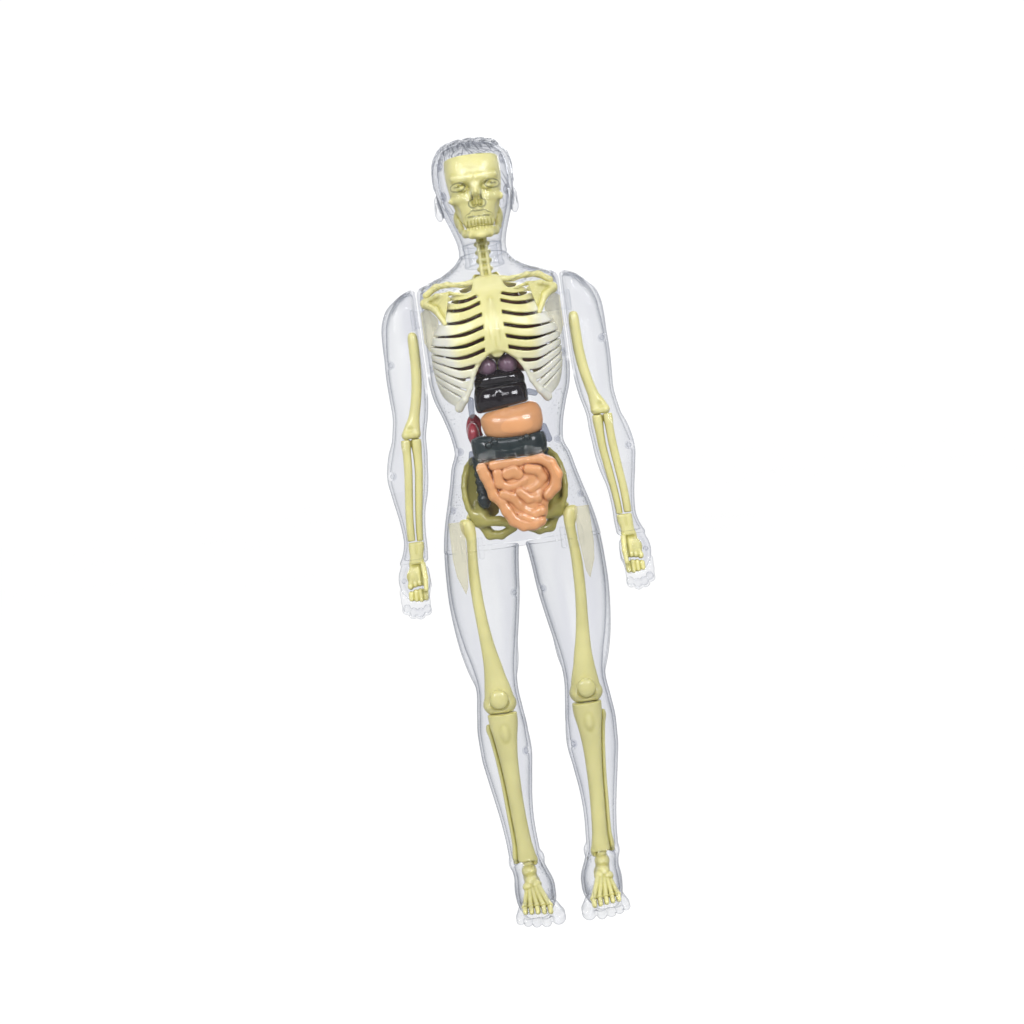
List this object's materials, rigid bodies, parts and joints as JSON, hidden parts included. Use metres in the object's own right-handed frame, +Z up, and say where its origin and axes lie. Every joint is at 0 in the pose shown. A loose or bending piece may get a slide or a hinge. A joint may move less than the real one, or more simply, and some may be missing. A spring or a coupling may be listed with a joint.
{
  "type": "transparent human anatomy figure",
  "caption": "Standing clear plastic human figure with a visible skeleton and organs; its chest cover pulls off, its head turns and its arms swing.",
  "frame": {"origin": "middle of the footprint on the surface the soles stand on; the seams of the shells and the joint axes lie 8.3 mm behind it", "axes": "+Z up through the head; the figure faces -Y; its own left side is on +X"},
  "size_m": [0.1176, 0.0574, 0.35],
  "materials": {
    "clear_shell": "clear, polished, slightly grey at its edges",
    "clear_peg": "clear, polished",
    "joint_plastic": "clear to milky, polished",
    "bone": "cream to olive-yellow, satin",
    "pelvis_bone": "olive, satin",
    "brain": "satin pink-grey",
    "lung": "glossy dark mauve",
    "heart": "glossy dark red",
    "liver": "very glossy, near-black purple",
    "stomach": "glossy peach",
    "kidneys": "glossy crimson",
    "large_intestine": "glossy, dark slate",
    "small_intestine": "glossy light orange"
  },
  "bodies": {
    "torso": {"torso_back_shell": "clear_shell", "torso_pegs": "clear_peg", "neck_collar": "joint_plastic", "shoulder_bush_left": "joint_plastic", "shoulder_bush_right": "joint_plastic", "spine": "bone", "cervical_spine": "bone", "rib_cage": "bone", "clavicle_left": "bone", "clavicle_right": "bone", "scapula_left": "bone", "scapula_right": "bone", "pelvis": "pelvis_bone", "lung_left": "lung", "lung_right": "lung", "heart": "heart", "liver": "liver", "stomach": "stomach", "kidneys": "kidneys", "large_intestine": "large_intestine", "small_intestine": "small_intestine", "leg_left_front_shell": "clear_shell", "leg_left_back_shell": "clear_shell", "leg_left_pegs": "clear_peg", "leg_right_front_shell": "clear_shell", "leg_right_back_shell": "clear_shell", "leg_right_pegs": "clear_peg", "hip_plug_left": "joint_plastic", "hip_plug_right": "joint_plastic", "femur_left": "bone", "patella_left": "bone", "shin_bones_left": "bone", "foot_bones_left": "bone", "femur_right": "bone", "patella_right": "bone", "shin_bones_right": "bone", "foot_bones_right": "bone"},
    "front_cover": {"torso_front_cover": "clear_shell"},
    "head": {"head_front_shell": "clear_shell", "head_back_shell": "clear_shell", "head_pegs": "clear_peg", "skull": "bone", "jaw": "bone", "brain": "brain"},
    "arm_left": {"arm_left_front_shell": "clear_shell", "arm_left_back_shell": "clear_shell", "arm_left_pegs": "clear_peg", "shoulder_pin_left": "joint_plastic", "humerus_left": "bone", "forearm_bones_left": "bone", "hand_bones_left": "bone"},
    "arm_right": {"arm_right_front_shell": "clear_shell", "arm_right_back_shell": "clear_shell", "arm_right_pegs": "clear_peg", "shoulder_pin_right": "joint_plastic", "humerus_right": "bone", "forearm_bones_right": "bone", "hand_bones_right": "bone"}
  },
  "joints": [
    {"name": "front_cover_release", "type": "slide", "parent": "torso", "child": "front_cover", "axis": [0, -1, 0], "range_m": [0, 0.07]},
    {"name": "head_turn", "type": "hinge", "parent": "torso", "child": "head", "pos_m": [0, 0.0083, 0.3], "axis": [0, 0, 1], "range_deg": [-60, 60]},
    {"name": "shoulder_left_swing", "type": "hinge", "parent": "torso", "child": "arm_left", "pos_m": [0.0325, 0.0083, 0.273], "axis": [-1, 0, 0], "range_deg": [-60, 170]},
    {"name": "shoulder_right_swing", "type": "hinge", "parent": "torso", "child": "arm_right", "pos_m": [-0.0325, 0.0083, 0.273], "axis": [-1, 0, 0], "range_deg": [-60, 170]}
  ]
}
